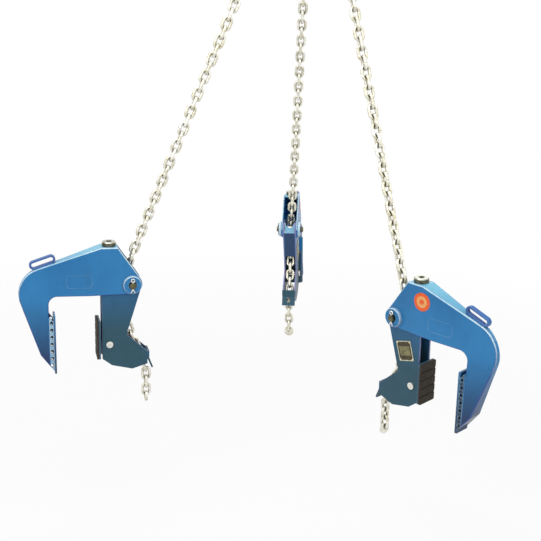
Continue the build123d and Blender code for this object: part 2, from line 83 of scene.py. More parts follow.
# pale floor and soft light from above
studio = {
    "floorDrop": 0.30,  # floor below the lowest tail disc
    "floorSize": 16.0,
    "floorColour": (0.90, 0.90, 0.90, 1),
    "floorRough": 0.9,
    "floorGlow": 0.80,  # share of the floor that shows as plain white near the middle
    "glowReach": (0.9, 2.6),  # metres from the middle, all white beyond
    "worldStrength": 0.42,
    "lamps": {  # spot, size in metres, power in watts
        "topLight": ((-0.3, -0.5, 1.9), 3.0, 62),
        "keyLight": ((-1.9, -2.6, 0.7), 1.8, 34),
        "fillLight": ((2.4, -2.2, 0.2), 2.0, 20),
        "backLight": ((0.5, 2.8, 0.6), 2.0, 14),
    },
    "aim": (0, 0, -1.25),
}


def areaLight(name, spot, size, power, aim):
    data = bpy.data.lights.new(name, "AREA")
    data.shape = "SQUARE"
    data.size = size
    data.energy = power
    lamp = bpy.data.objects.new(name, data)
    scene.collection.objects.link(lamp)
    lamp.location = spot
    lamp.rotation_euler = (Vector(aim) - Vector(spot)).to_track_quat("-Z", "Y").to_euler()


def seenRays(tree):  # 1 for camera, mirror and glass rays, else 0
    path = tree.nodes.new("ShaderNodeLightPath")
    total = path.outputs["Is Camera Ray"]
    for ray in ("Is Glossy Ray", "Is Transmission Ray"):
        either = tree.nodes.new("ShaderNodeMath")
        either.operation = "MAXIMUM"
        tree.links.new(total, either.inputs[0])
        tree.links.new(path.outputs[ray], either.inputs[1])
        total = either.outputs[0]
    return total


def buildFloor(look):
    half = look["floorSize"] / 2
    low = cadBox[0].z - look["floorDrop"]
    mesh = bpy.data.meshes.new("floor")
    corners = [(-half, -half, 0), (half, -half, 0), (half, half, 0), (-half, half, 0)]
    mesh.from_pydata(corners, [], [(0, 1, 2, 3)])
    floor = bpy.data.objects.new("floor", mesh)
    scene.collection.objects.link(floor)
    floor.location.z = low
    paint = bpy.data.materials.new("floorPaint")
    paint.use_nodes = True
    tree = paint.node_tree
    shader = tree.nodes["Principled BSDF"]
    shader.inputs["Base Color"].default_value = look["floorColour"]
    shader.inputs["Roughness"].default_value = look["floorRough"]
    glow = tree.nodes.new("ShaderNodeEmission")
    coords = tree.nodes.new("ShaderNodeTexCoord")
    away = tree.nodes.new("ShaderNodeVectorMath")
    away.operation = "LENGTH"
    tree.links.new(coords.outputs["Object"], away.inputs[0])
    spread = tree.nodes.new("ShaderNodeMapRange")
    spread.inputs["From Min"].default_value, spread.inputs["From Max"].default_value = look["glowReach"]
    spread.inputs["To Min"].default_value = look["floorGlow"]
    spread.inputs["To Max"].default_value = 1.0
    tree.links.new(away.outputs["Value"], spread.inputs["Value"])
    share = tree.nodes.new("ShaderNodeMath")
    share.operation = "MULTIPLY"
    tree.links.new(spread.outputs["Result"], share.inputs[1])
    blend = tree.nodes.new("ShaderNodeMixShader")
    tree.links.new(seenRays(tree), share.inputs[0])
    tree.links.new(share.outputs[0], blend.inputs[0])
    tree.links.new(shader.outputs[0], blend.inputs[1])
    tree.links.new(glow.outputs[0], blend.inputs[2])
    tree.links.new(blend.outputs[0], tree.nodes["Material Output"].inputs["Surface"])
    mesh.materials.append(paint)


def buildSky(look):
    world = bpy.data.worlds.new("studio")
    scene.world = world
    world.use_nodes = True
    tree = world.node_tree
    soft = tree.nodes["Background"]
    soft.inputs["Color"].default_value = (1, 1, 1, 1)
    soft.inputs["Strength"].default_value = look["worldStrength"]
    white = tree.nodes.new("ShaderNodeBackground")
    white.inputs["Color"].default_value = (1, 1, 1, 1)
    white.inputs["Strength"].default_value = 1.0
    blend = tree.nodes.new("ShaderNodeMixShader")
    tree.links.new(seenRays(tree), blend.inputs[0])
    tree.links.new(soft.outputs[0], blend.inputs[1])
    tree.links.new(white.outputs[0], blend.inputs[2])
    tree.links.new(blend.outputs[0], tree.nodes["World Output"].inputs["Surface"])


buildFloor(studio)
buildSky(studio)
for lampName, (lampSpot, lampSize, lampPower) in studio["lamps"].items():
    areaLight(lampName, lampSpot, lampSize, lampPower, studio["aim"])
print("studio ready")


# finishes
class NodeBook:
    def __init__(self, name):
        self.material = bpy.data.materials.new(name)
        self.material.use_nodes = True
        self.tree = self.material.node_tree
        self.shader = self.tree.nodes["Principled BSDF"]
        self.coords = self.tree.nodes.new("ShaderNodeTexCoord")

    def add(self, kind, **settings):
        node = self.tree.nodes.new(kind)
        for key, value in settings.items():
            setattr(node, key, value)
        return node

    def link(self, source, target):
        self.tree.links.new(source, target)

    def noise(self, scale, detail=4.0, rough=0.55, stretch=(1, 1, 1)):
        place = self.add("ShaderNodeMapping")
        place.inputs["Scale"].default_value = stretch
        self.link(self.coords.outputs["Object"], place.inputs["Vector"])
        cloud = self.add("ShaderNodeTexNoise")
        cloud.inputs["Scale"].default_value = scale
        cloud.inputs["Detail"].default_value = detail
        cloud.inputs["Roughness"].default_value = rough
        self.link(place.outputs["Vector"], cloud.inputs["Vector"])
        return cloud.outputs["Fac"]

    def ramp(self, source, stops):
        band = self.add("ShaderNodeValToRGB")
        spots = band.color_ramp.elements
        while len(spots) < len(stops):
            spots.new(0.5)
        for spot, (place, colour) in zip(spots, stops):
            spot.position = place
            spot.color = (*colour, 1)
        self.link(source, band.inputs["Fac"])
        return band.outputs["Color"]

    def grey(self, source, low, high, a=0.3, b=0.7):
        return self.ramp(source, [(a, (low,) * 3), (b, (high,) * 3)])

    def mask(self, source, a, b, most=1.0):
        return self.ramp(source, [(a, (0, 0, 0)), (b, (most,) * 3)])

    def mix(self, amount, first, second, kind="MIX"):
        node = self.add("ShaderNodeMix", data_type="RGBA", blend_type=kind)
        for value, socket in ((amount, node.inputs[0]), (first, node.inputs[6]), (second, node.inputs[7])):
            if hasattr(value, "links"):
                self.link(value, socket)
            elif isinstance(value, (int, float)):
                socket.default_value = value
            else:
                socket.default_value = (*value, 1)
        return node.outputs[2]

    def fall(self, top, foot):  # 0 at the top height, 1 at the foot
        split = self.add("ShaderNodeSeparateXYZ")
        self.link(self.coords.outputs["Object"], split.inputs[0])
        span = self.add("ShaderNodeMapRange")
        span.inputs["From Min"].default_value = top
        span.inputs["From Max"].default_value = foot
        self.link(split.outputs["Z"], span.inputs["Value"])
        return span.outputs["Result"]

    def centred(self, radius):  # 0 at the piece's own middle, 1 at the radius
        far = self.add("ShaderNodeVectorMath", operation="LENGTH")
        self.link(self.coords.outputs["Object"], far.inputs[0])
        share = self.add("ShaderNodeMath", operation="DIVIDE")
        share.inputs[1].default_value = radius
        self.link(far.outputs["Value"], share.inputs[0])
        return share.outputs[0]

    def edges(self, radius, low, high, most=1.0):
        soft = self.add("ShaderNodeBevel", samples=6)
        soft.inputs["Radius"].default_value = radius
        plain = self.add("ShaderNodeNewGeometry")
        same = self.add("ShaderNodeVectorMath", operation="DOT_PRODUCT")
        self.link(soft.outputs["Normal"], same.inputs[0])
        self.link(plain.outputs["Normal"], same.inputs[1])
        return self.ramp(same.outputs["Value"], [(low, (most,) * 3), (high, (0, 0, 0))])

    # painted shade: a mask that is high where occlusion darkens hollows, corners and joints
    def hollows(self, reach, low, high, most=1.0):
        shade = self.add("ShaderNodeAmbientOcclusion", samples=6)
        shade.inputs["Distance"].default_value = reach
        return self.ramp(shade.outputs["AO"], [(low, (most,) * 3), (high, (0, 0, 0))])

    def bump(self, source, strength, distance):
        node = self.add("ShaderNodeBump")
        node.inputs["Strength"].default_value = strength
        node.inputs["Distance"].default_value = distance
        self.link(source, node.inputs["Height"])
        self.link(node.outputs["Normal"], self.shader.inputs["Normal"])

    def use(self, colour, rough):
        self.link(colour, self.shader.inputs["Base Color"])
        self.link(rough, self.shader.inputs["Roughness"])


# noise scales of the paint, per metre, and the reach of its painted corner shade
paintGrain = {
    "cloud": 6.0, "streak": 26.0, "patch": 70.0, "chip": 210.0, "gloss": 48.0, "peel": 330.0,
    "streakStretch": (1, 1, 0.22), "peelDepth": 0.0005, "cornerShadeReach": 0.010,
}


def enamel(name, look):  # brushed-on machine paint, with painted shade down the piece and in its corners, and pale edges that are part rubbed wear, part painted highlight
    book = NodeBook(name)
    cloud = book.noise(paintGrain["cloud"], 3.0)
    tone = book.ramp(cloud, [(0.32, look["shade"]), (0.68, look["light"])])
    # painted shade: the colour turns towards the low colour down the piece
    lower = book.mask(book.fall(look["top"], look["foot"]), 0.0, 1.0, look["lowShare"])
    tone = book.mix(lower, tone, look["low"])
    streak = book.noise(paintGrain["streak"], 5.0, 0.65, paintGrain["streakStretch"])
    tone = book.mix(book.mask(streak, 0.52, 0.80, look["grimeAndShade"]), tone, look["dirtAndShade"])
    # painted shade in corners and recesses, over the streaky dirt
    corners = book.hollows(paintGrain["cornerShadeReach"], 0.25, 0.80, look["cornerShade"])
    tone = book.mix(corners, tone, look["dirtAndShade"])
    # pale edges: part rubbed wear, part painted highlight
    rubbedAndHighlit = book.edges(look["edgeReach"], look["edgeLow"], look["edgeHigh"], look["edgeShare"])
    patchy = book.grey(book.noise(paintGrain["patch"], 4.0, 0.6), 0.55, 1.0, 0.36, 0.56)
    tone = book.mix(book.mix(1.0, rubbedAndHighlit, patchy, "MULTIPLY"), tone, look["edge"])
    chips = book.mask(book.noise(paintGrain["chip"], 3.0, 0.6), 0.735, 0.755, look["chips"])
    tone = book.mix(chips, tone, look["chip"])
    gloss = book.noise(paintGrain["gloss"], 5.0)
    rough = book.grey(gloss, look["rough"] - 0.07, look["rough"] + 0.10)
    book.use(tone, rough)
    book.bump(book.noise(paintGrain["peel"], 2.0), look["peel"], paintGrain["peelDepth"])
    book.shader.inputs["Specular IOR Level"].default_value = look["shine"]
    book.shader.inputs["Coat Weight"].default_value = look["coat"]
    book.shader.inputs["Coat Roughness"].default_value = look["coatRough"]
    return book.material


def zinc(name, look):  # bright or oiled plated steel
    book = NodeBook(name)
    tone = book.ramp(book.noise(look["scale"], 5.0, 0.6), [(0.34, look["shade"]), (0.62, look["light"])])
    tint = book.mask(book.noise(look["scale"] * 0.31, 3.0), 0.42, 0.70, look["tintShare"])
    tone = book.mix(tint, tone, look["tint"])
    # painted shade in hollows and where parts meet, part grime
    tone = book.mix(book.hollows(look["reach"], 0.30, 0.85, look["grimeAndShade"]), tone, look["dirtAndShade"])
    rough = book.grey(book.noise(look["scale"] * 2.0, 4.0), look["rough"] - 0.08, look["rough"] + 0.12)
    book.use(tone, rough)
    book.shader.inputs["Metallic"].default_value = look["metal"]
    book.bump(book.noise(480.0, 3.0), 0.12, 0.0003)
    return book.material


def lining(name, look):  # pressed friction lining
    book = NodeBook(name)
    tone = book.ramp(book.noise(160.0, 6.0, 0.7), [(0.35, look["shade"]), (0.65, look["light"])])
    flecks = book.mask(book.noise(900.0, 2.0), 0.66, 0.74, 0.5)
    book.use(book.mix(flecks, tone, look["fleck"]), book.grey(book.noise(240.0, 4.0), 0.74, 0.95))
    book.bump(book.noise(520.0, 4.0), 0.45, 0.0006)
    return book.material


def stickerInk(name, look):  # plain rings, sun-faded
    book = NodeBook(name)
    core, ring, blend = look["core"], look["ring"], look["blend"]
    bands = [
        (0.0, core), (look["ringIn"], core), (look["ringIn"] + blend, ring),
        (look["ringOut"], ring), (look["ringOut"] + blend, core), (1.0, core),
    ]
    wander = book.add("ShaderNodeMath", operation="MULTIPLY_ADD")
    book.link(book.noise(120.0, 3.0), wander.inputs[0])
    wander.inputs[1].default_value = look["wander"]
    book.link(book.centred(look["radius"] * mm), wander.inputs[2])
    tone = book.ramp(wander.outputs[0], bands)
    faded = book.mask(book.noise(90.0, 4.0, 0.6), 0.50, 0.72, 0.45)
    book.use(book.mix(faded, tone, look["faded"]), book.grey(book.noise(300.0, 3.0), 0.35, 0.55))
    book.bump(book.noise(260.0, 3.0), 0.08, 0.0003)
    return book.material


housingBlue = {
    "shade": (0.014, 0.165, 0.405), "light": (0.024, 0.215, 0.490),
    "low": (0.009, 0.026, 0.085), "lowShare": 0.95, "top": -1.290, "foot": -1.460,  # painted shade, darker down the leg
    # dark colour: streaky dirt, and painted shade in the corners
    "dirtAndShade": (0.012, 0.055, 0.115), "grimeAndShade": 0.22, "cornerShade": 0.45,
    "edge": (0.50, 0.72, 0.84), "edgeReach": 0.0036, "edgeLow": 0.80, "edgeHigh": 0.975, "edgeShare": 0.45,
    "chip": (0.30, 0.36, 0.40), "chips": 0.35, "rough": 0.34, "peel": 0.10,
    "shine": 0.28, "coat": 0.16, "coatRough": 0.14,
}
# painted highlight on the housing's upward rounded edges and boss rims, fading to royal blue lower down
edgeHighlight = dict(
    housingBlue, shade=(0.36, 0.60, 0.74), light=(0.70, 0.86, 0.92),
    low=(0.014, 0.055, 0.280), lowShare=1.0, top=-1.225, foot=-1.325, grimeAndShade=0.10, edgeShare=0.0, shine=0.5,
)
# painted grazing reflection: a royal-blue line on the housing's rounded edges
edgeRoyal = dict(
    housingBlue, shade=(0.012, 0.050, 0.300), light=(0.020, 0.075, 0.380),
    low=(0.010, 0.026, 0.190), edgeShare=0.0,
)
# painted light: a lighter teal copy of the housing paint for the top strip, lit from above, darker lower
# down
stripTeal = dict(
    housingBlue, shade=(0.125, 0.430, 0.620), light=(0.210, 0.540, 0.710),
    low=(0.018, 0.180, 0.430), lowShare=1.0, top=-1.170, foot=-1.245, grimeAndShade=0.16, rough=0.30,
)
# pale edges of the handle, part rubbed wear, part painted highlight
handleRoyal = dict(
    housingBlue, shade=(0.014, 0.075, 0.315), light=(0.026, 0.140, 0.430),
    edge=(0.50, 0.72, 0.86), edgeReach=0.0050, edgeShare=0.60,
)
# flange paint, the lit copy: painted light, with painted shade in its holes and corners
jawPale = dict(
    housingBlue, shade=(0.30, 0.50, 0.64), light=(0.38, 0.58, 0.70), low=(0.26, 0.42, 0.58),
    dirtAndShade=(0.05, 0.11, 0.16), grimeAndShade=0.35, cornerShade=0.70, rough=0.42, chips=0.6, coat=0.10, edgeShare=0.85,
)
# the same flange paint, the shaded copy: painted shade
jawDark = dict(
    jawPale, shade=(0.012, 0.030, 0.070), light=(0.030, 0.070, 0.130), low=(0.012, 0.028, 0.062),
    edge=(0.42, 0.62, 0.76),
)
# painted shade, darker down the arm and in its corners
armBlue = {
    "shade": (0.016, 0.100, 0.225), "light": (0.022, 0.130, 0.275),
    "low": (0.022, 0.078, 0.105), "lowShare": 0.90, "top": -1.275, "foot": -1.385,
    "dirtAndShade": (0.012, 0.040, 0.060), "grimeAndShade": 0.28, "cornerShade": 0.55,
    "edge": (0.30, 0.36, 0.60), "edgeReach": 0.0018, "edgeLow": 0.80, "edgeHigh": 0.97, "edgeShare": 0.60,
    "chip": (0.34, 0.33, 0.28), "chips": 0.45, "rough": 0.42, "peel": 0.12,
    "shine": 0.28, "coat": 0.10, "coatRough": 0.22,
}
# painted highlight: lilac on the arm cheeks' cut edges
armEdge = dict(
    armBlue, shade=(0.16, 0.18, 0.42), light=(0.26, 0.29, 0.55), low=(0.20, 0.21, 0.44),
    edge=(0.55, 0.58, 0.78), chips=0.6,
)
# painted shade: the web's navy, deepened for its down-facing plate
webBlue = dict(
    armBlue, shade=(0.012, 0.045, 0.120), light=(0.018, 0.065, 0.165), low=(0.012, 0.040, 0.110),
    edge=(0.20, 0.28, 0.44), coat=0.16,
)
# painted light: pale teal crown of the web, lit from above, with a white painted highlight on its edge
webCrown = dict(
    armBlue, shade=(0.12, 0.36, 0.54), light=(0.20, 0.46, 0.64), low=(0.12, 0.36, 0.54), lowShare=0.2,
    edge=(0.80, 0.90, 0.95), edgeReach=0.0036, edgeShare=0.9, shine=0.5, coat=0.35,
)
# the dark hollow colour of the zinc finishes is painted shade where links meet and in hollows, part grime
chainZinc = {
    "shade": (0.56, 0.53, 0.40), "light": (0.92, 0.91, 0.84), "tint": (0.60, 0.52, 0.26), "tintShare": 0.38,
    "dirtAndShade": (0.085, 0.072, 0.030), "grimeAndShade": 0.85, "reach": 0.009,
    "scale": 70.0, "rough": 0.33, "metal": 0.80,
}
forgedZinc = {
    "shade": (0.40, 0.40, 0.38), "light": (0.66, 0.66, 0.64), "tint": (0.42, 0.38, 0.26), "tintShare": 0.30,
    "dirtAndShade": (0.08, 0.07, 0.05), "grimeAndShade": 0.6, "reach": 0.012,
    "scale": 40.0, "rough": 0.40, "metal": 0.9,
}
fittingZinc = {
    "shade": (0.62, 0.62, 0.57), "light": (0.92, 0.92, 0.88), "tint": (0.62, 0.58, 0.40), "tintShare": 0.25,
    "dirtAndShade": (0.07, 0.065, 0.04), "grimeAndShade": 0.8, "reach": 0.006,
    "scale": 110.0, "rough": 0.28, "metal": 0.85,
}
plugZinc = dict(
    fittingZinc, shade=(0.28, 0.29, 0.25), light=(0.60, 0.61, 0.55),
    tint=(0.36, 0.34, 0.22), tintShare=0.5, grimeAndShade=0.9, metal=0.95,
)
# painted shade: dark sides of the crest plug
plugRim = dict(
    plugZinc, shade=(0.050, 0.052, 0.034), light=(0.17, 0.17, 0.12), tint=(0.10, 0.09, 0.04), rough=0.36,
)
# dark hollow colour: painted shade, part grime
pinSteel = {
    "shade": (0.070, 0.068, 0.034), "light": (0.19, 0.18, 0.10),
    "tint": (0.13, 0.11, 0.04), "tintShare": 0.5,
    "dirtAndShade": (0.015, 0.014, 0.008), "grimeAndShade": 0.9, "reach": 0.008,
    "scale": 130.0, "rough": 0.36, "metal": 0.7,
}
padBrown = {"shade": (0.014, 0.010, 0.006), "light": (0.042, 0.031, 0.018), "fleck": (0.12, 0.10, 0.07)}

finishes = {
    "housing_paint": enamel("housingEnamel", housingBlue),
    "arm_paint": enamel("armEnamel", armBlue),
    "web_paint": enamel("webEnamel", webBlue),
    "zinc_chain": zinc("chainZinc", chainZinc),
    "forged_steel": zinc("forgedZinc", forgedZinc),
    "zinc_fitting": zinc("fittingZinc", fittingZinc),
    "pin_steel": zinc("pinSteel", pinSteel),
    "friction_pad": lining("padLining", padBrown),
}
jawDarkPaint = enamel("jawDarkEnamel", jawDark)
jawPalePaint = enamel("jawPaleEnamel", jawPale)
# lit flanges on the far and left clamps, shaded flanges on the right: painted light and shade
jawFaces = {"far": jawPalePaint, "left": jawPalePaint, "right": jawDarkPaint}
highlightEdges = enamel("highlightEdgeEnamel", edgeHighlight)
royalEdges = enamel("royalEdgeEnamel", edgeRoyal)
nodePaints = {
    # the top strip takes the lit copy: painted light
    "back_strip": enamel("stripEnamel", stripTeal),
    "carry_handle": enamel("handleEnamel", handleRoyal),
    "crest_plug": zinc("plugZinc", plugZinc),
}
plugRims = zinc("plugRimZinc", plugRim)
armCutEdges = enamel("armEdgeEnamel", armEdge)
webCrownFaces = enamel("webCrownEnamel", webCrown)
for entry in frame["record"]["subparts"]:
    mesh = nodes[entry["node"]].data
    mesh.materials.clear()
    piece = entry["node"].split("_", 1)[-1]
    mesh.materials.append(nodePaints.get(piece, finishes[entry["material_slot"]]))

# each clamp's own axes: outward, up and across, from its pivot pin
chainEntry = (27, 2)  # mm out and up from the pivot pin to where the leg chain enters the arm


def clampPlace(name):
    pin = joints[name + "_clamp"]
    pivot, across = Vector(pin["pos_m"]), Vector(pin["axis"])
    entry = Vector(joints[name + "_arm_hang"]["pos_m"]) - pivot
    outward = (entry * chainEntry[0] - across.cross(entry) * chainEntry[1]).normalized()
    turn = Matrix((outward, across.cross(outward), across)).transposed()
    return Matrix.Translation(pivot) @ turn.to_4x4()


places = {name: clampPlace(name) for name in clampNames}


def paintFaces(node, finish, place, rule):
    mesh = nodes[node].data
    mesh.materials.append(finish)
    extra = len(mesh.materials) - 1
    back = place.inverted()
    turn = back.to_3x3()
    for face in mesh.polygons:
        if rule(turn @ face.normal, (back @ face.center) / mm):
            face.material_index = extra


# which faces of a node take another paint, by their direction and middle in the clamp's axes
faceRules = {
    "cutAcross": 0.5,  # a cut edge faces across by less than this
    "flatAcross": 0.9,  # a flat side faces across by more
    "bossAcross": 0.95,  # the bosses' edges face across by less
    "rounded": (0.2, 0.97),  # a rounded edge faces across by a share between these
    "highlightUp": 0.1, "highlightBack": 0.2,  # its painted highlight faces up or, by this much more, outward
    "flange": (20.5, 21.5),  # mm across to the jaw flange's outer face
    "crownUp": -9.0,  # mm up, the web above it is the bright crown
    "plugUp": 0.6,  # the plug's dark side faces up by less
    "plugOut": 57.0,  # mm from the pivot pin out to the plug's middle
    "plugRim": 12.0,  # mm from the plug's middle to where its dark side begins
}


def isCutEdge(facing, middle):
    return abs(facing.z) < faceRules["cutAcross"]


def isFlangeFace(facing, middle):
    near, far = faceRules["flange"]
    return abs(facing.z) > faceRules["flatAcross"] and near < abs(middle.z) < far


def isRoundedEdge(facing, middle):
    least, most = faceRules["rounded"]
    return least < abs(facing.z) < most


# rounded edges that face up or outward take the painted highlight
def isHighlitEdge(facing, middle):
    litFacing = max(facing.y, facing.x - faceRules["highlightBack"])
    return isRoundedEdge(facing, middle) and litFacing > faceRules["highlightUp"]


def isBossEdge(facing, middle):
    return abs(facing.z) < faceRules["bossAcross"]


def isPlugSide(facing, middle):
    away = math.hypot(middle.x - faceRules["plugOut"], middle.z)
    return abs(facing.y) < faceRules["plugUp"] and away > faceRules["plugRim"]


def isWebCrown(facing, middle):
    return middle.y > faceRules["crownUp"] and isCutEdge(facing, middle)


for name, place in places.items():
    # painted highlight on the arm cheeks' cut edges
    paintFaces(name + "_arm_cheeks", armCutEdges, place, isCutEdge)
    paintFaces(name + "_jaw_channel", jawFaces[name], place, isFlangeFace)
    # painted grazing reflection, royal blue, on the rounded edges
    paintFaces(name + "_housing_cheeks", royalEdges, place, isRoundedEdge)
    # painted highlight on rounded edges that face up or outward, and on the boss rims
    paintFaces(name + "_housing_cheeks", highlightEdges, place, isHighlitEdge)
    paintFaces(name + "_pivot_bosses", highlightEdges, place, isBossEdge)
    # painted shade on the plug's sides, its top left bright
    paintFaces(name + "_crest_plug", plugRims, place, isPlugSide)
    # painted light on the web's upper sloped crown
    paintFaces(name + "_arm_web", webCrownFaces, place, isWebCrown)
print("cut edges and jaw faces painted")


# small pieces, most built in their clamp's own axes
sharpAngle = 38  # degrees, a crease above it stays sharp


def addPiece(name, mesh, place, body, slot, *paints):
    piece = bpy.data.objects.new(name, mesh)
    scene.collection.objects.link(piece)
    piece.matrix_world = place
    for paint in paints:
        mesh.materials.append(paint)
    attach(piece, body)


def finishMesh(shape, name):
    bmesh.ops.recalc_face_normals(shape, faces=shape.faces)
    mesh = bpy.data.meshes.new(name)
    shape.to_mesh(mesh)
    shape.free()
    mesh.polygons.foreach_set("use_smooth", [True] * len(mesh.polygons))
    mesh.set_sharp_from_angle(angle=math.radians(sharpAngle))
    return mesh


def lathe(shape, profile, segments, spot=(0, 0, 0), paint=0):  # profile from the axis out, in mm
    rings = []
    for radius, height in profile:
        if radius == 0:
            rings.append([shape.verts.new((Vector(spot) + Vector((0, 0, height))) * mm)])
            continue
        ring = []
        for step in range(segments):
            turn = 2 * math.pi * step / segments
            offset = Vector((radius * math.cos(turn), radius * math.sin(turn), height))
            ring.append(shape.verts.new((Vector(spot) + offset) * mm))
        rings.append(ring)
    for inner, outer in zip(rings, rings[1:]):
        for step in range(segments):
            following = (step + 1) % segments
            if len(inner) == 1:
                corners = (inner[0], outer[step], outer[following])
            else:
                corners = (inner[step], outer[step], outer[following], inner[following])
            shape.faces.new(corners).material_index = paint


def roundedOutline(width, height, corner, steps=5):
    points = []
    for quarter, (sx, sy) in enumerate(((1, 1), (-1, 1), (-1, -1), (1, -1))):
        cx, cy = sx * (width / 2 - corner), sy * (height / 2 - corner)
        for step in range(steps + 1):
            turn = math.pi / 2 * (quarter + step / steps)
            points.append((cx + corner * math.cos(turn), cy + corner * math.sin(turn)))
    return points


def slab(shape, outlines, paint):  # stacked outlines, each with its height, closed above
    rings = []
    for outline, height in outlines:
        rings.append([shape.verts.new(Vector((x, y, height)) * mm) for x, y in outline])
    count = len(rings[0])
    for lower, upper in zip(rings, rings[1:]):
        for step in range(count):
            following = (step + 1) % count
            corners = (lower[step], lower[following], upper[following], upper[step])
            shape.faces.new(corners).material_index = paint
    shape.faces.new(rings[-1]).material_index = paint


# weld bead: length of a ripple in mm, how far ripples and slower waves swell it, and its thin tips
beadForm = {"ripple": 2.4, "swell": 0.10, "wave": 4.3, "waveSwell": 0.05, "tip": 0.06, "sides": 10}


def beadSwell(run, look):
    turn = 2 * math.pi * run
    ripples = look["swell"] * math.sin(turn / look["ripple"])
    waves = look["waveSwell"] * math.sin(turn / (look["ripple"] * look["wave"]))
    return 1 + ripples + waves


def bead(shape, path, radius, closed=False):
    sides = beadForm["sides"]
    points = [Vector(point) for point in path]
    runs = list(zip(points, points[1:] + points[:1])) if closed else list(zip(points, points[1:]))
    stations, total = [], 0.0
    for start, end in runs:
        length = (end - start).length
        along = (end - start).normalized()
        count = max(1, round(length / (beadForm["ripple"] / 4)))  # four stations to a ripple
        for step in range(count):
            stations.append((start.lerp(end, step / count), along, total + length * step / count))
        total += length
    if not closed:
        stations.append((points[-1], (points[-1] - points[-2]).normalized(), total))
    side = stations[0][1].orthogonal().normalized()
    rings = []
    for centre, along, run in stations:
        side = (side - along * side.dot(along)).normalized()
        other = along.cross(side)
        swell = beadSwell(run, beadForm)
        if not closed:
            near = min(run, total - run) / (2 * radius)
            swell *= math.sqrt(max(beadForm["tip"], 1 - max(0.0, 1 - near) ** 2))
        ring = []
        for step in range(sides):
            turn = 2 * math.pi * step / sides
            reach = side * math.cos(turn) + other * math.sin(turn)
            ring.append(shape.verts.new((centre + reach * (radius * swell)) * mm))
        rings.append(ring)
    pairs = list(zip(rings, rings[1:])) + ([(rings[-1], rings[0])] if closed else [])
    for first, second in pairs:
        for step in range(sides):
            following = (step + 1) % sides
            shape.faces.new((first[step], first[following], second[following], second[step]))
    if not closed:
        shape.faces.new(rings[0])
        shape.faces.new(rings[-1])


# inspection sticker on the housing, plain rings only
sticker = {
    "radius": 22.5, "thick": 0.4, "spot": (80.7, 62.0, 25.0), "segments": 72,
    "rows": (0.2, 0.36, 0.5, 0.6, 0.7, 0.8, 0.9),  # rows of corners, so that it can fold
    "fold": (86.0, 27.0), "foldAngles": (5.7, 2.6),  # where the cheek folds, mm, and its toe and lean
    "ringIn": 0.30, "ringOut": 0.64, "blend": 0.03, "wander": 0.05,
    "core": (0.86, 0.105, 0.012), "ring": (0.84, 0.41, 0.13), "faded": (0.90, 0.30, 0.09),
}
stickerPaint = stickerInk("stickerInk", sticker)


def buildSticker(name, place, look):
    shape = bmesh.new()
    edge, top = look["radius"], look["thick"]
    profile = [(0, top)] + [(edge * share, top) for share in look["rows"]]
    profile += [(edge - 0.5, top), (edge - 0.1, top * 0.8), (edge, top * 0.4), (edge, -0.1)]
    lathe(shape, profile, look["segments"])
    toe, lean = (math.tan(math.radians(angle)) for angle in look["foldAngles"])
    for vert in shape.verts:  # laid over the fold of the cheek
        out = vert.co.x + (look["spot"][0] - look["fold"][0]) * mm
        rise = vert.co.y + (look["spot"][1] - look["fold"][1]) * mm
        vert.co.z -= max(0.0, out * toe + rise * lean)
    mesh = finishMesh(shape, name + "_sticker")
    spot = place @ Matrix.Translation(Vector(look["spot"]) * mm)
    addPiece(name + "_sticker", mesh, spot, name + "_housing", "housing_paint", stickerPaint)


# bare rating plate on the arm: rim, dull panel, two dark bars, four rivets
ratingPlate = {
    "width": 46.0, "height": 51.0, "thick": 1.2, "corner": 2.5, "spot": (35.0, -80.0, 20.5), "lean": 17.0,
    "rim": 2.0, "rimHeight": 0.5, "bevel": 0.4, "rimSide": 0.3,
    "panel": (33.0, 24.0), "panelInset": 0.6, "panelCorners": (1.5, 1.2), "panelRise": (0.2, 0.35),
    "bar": (33.0, 6.0), "barInset": 0.5, "barCorners": (1.2, 1.0), "barRise": (0.15, 0.28), "barOut": 17.0,
    "sunk": 0.05,  # panel and bars start this far below the plate's face
    "rivetOut": (19.2, 21.6), "rivetRadius": 2.3, "rivetHeight": 1.5, "rivetSegments": 20,
}
# dark hollow colour: painted shade, part grime
plateDark = {
    "shade": (0.030, 0.024, 0.012), "light": (0.075, 0.062, 0.030),
    "tint": (0.09, 0.07, 0.03), "tintShare": 0.4,
    "dirtAndShade": (0.02, 0.016, 0.008), "grimeAndShade": 0.6, "reach": 0.004,
    "scale": 150.0, "rough": 0.48, "metal": 0.3,
}
plateOlive = dict(
    plateDark, shade=(0.11, 0.10, 0.045), light=(0.26, 0.25, 0.13), tint=(0.30, 0.26, 0.12), metal=0.5,
)
plateRim = dict(
    plateDark, shade=(0.40, 0.38, 0.24), light=(0.80, 0.78, 0.62), tint=(0.55, 0.48, 0.26),
    metal=0.7, rough=0.34,
)
platePaints = [zinc("plateDark", plateDark), zinc("plateOlive", plateOlive), zinc("plateRim", plateRim)]
darkPaint, olivePaint, rimPaint = range(3)  # places in platePaints


def shifted(outline, dy):
    return [(x, y + dy) for x, y in outline]


def raisedField(shape, look, part, dy, paint):  # panel or bar, with a sloped edge
    width, height = look[part]
    inset = look[part + "Inset"]
    lowCorner, topCorner = look[part + "Corners"]
    side, top = (look["thick"] + rise for rise in look[part + "Rise"])
    outline = shifted(roundedOutline(width, height, lowCorner), dy)
    topOutline = shifted(roundedOutline(width - inset, height - inset, topCorner), dy)
    slab(shape, [(outline, look["thick"] - look["sunk"]), (outline, side), (topOutline, top)], paint)


